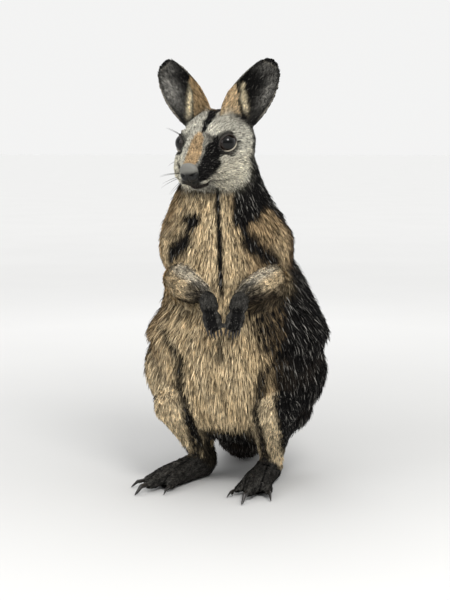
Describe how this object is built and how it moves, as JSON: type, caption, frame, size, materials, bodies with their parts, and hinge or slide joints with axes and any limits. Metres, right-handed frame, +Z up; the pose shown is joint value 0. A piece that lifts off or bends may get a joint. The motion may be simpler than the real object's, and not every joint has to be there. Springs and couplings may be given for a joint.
{
  "type": "wallaby",
  "caption": "Life-size brush-tailed rock-wallaby standing upright on flat hind feet, forepaws held together, head turned a little, tail laid out behind.",
  "frame": {"origin": "centre of the whole animal's bounding box, on the floor", "axes": "+Z up; the animal faces -Y, its left side is +X, and its tail runs out along +Y"},
  "size_m": [0.33, 0.7958, 0.5416],
  "materials": {
    "coat": "tan short fur, matte",
    "dark_coat": "blackish brown fur, matte",
    "grey_coat": "pale grey face fur, matte",
    "nose_skin": "bare skin, slightly moist",
    "claw": "black horn, satin",
    "eye": "wet and glossy"
  },
  "bodies": {
    "root": {"head": "grey_coat", "lower_jaw": "grey_coat", "nose": "nose_skin", "eye_left": "eye", "eye_right": "eye", "ear_left": "dark_coat", "ear_right": "dark_coat", "upper_arm_left": "coat", "forearm_left": "coat", "forepaw_left": "dark_coat", "fore_claw_left_1": "claw", "fore_claw_left_2": "claw", "fore_claw_left_3": "claw", "fore_claw_left_4": "claw", "fore_claw_left_5": "claw", "thigh_left": "coat", "shin_left": "coat", "foot_left": "dark_coat", "hind_claw_left_inner": "claw", "hind_claw_left_middle": "claw", "hind_claw_left_outer": "claw", "upper_arm_right": "coat", "forearm_right": "coat", "forepaw_right": "dark_coat", "fore_claw_right_1": "claw", "fore_claw_right_2": "claw", "fore_claw_right_3": "claw", "fore_claw_right_4": "claw", "fore_claw_right_5": "claw", "thigh_right": "coat", "shin_right": "coat", "foot_right": "dark_coat", "hind_claw_right_inner": "claw", "hind_claw_right_middle": "claw", "hind_claw_right_outer": "claw", "abdomen": "coat", "chest": "coat", "neck": "coat", "tail_base": "dark_coat", "tail_middle": "dark_coat", "tail_brush": "dark_coat"}
  },
  "joints": []
}
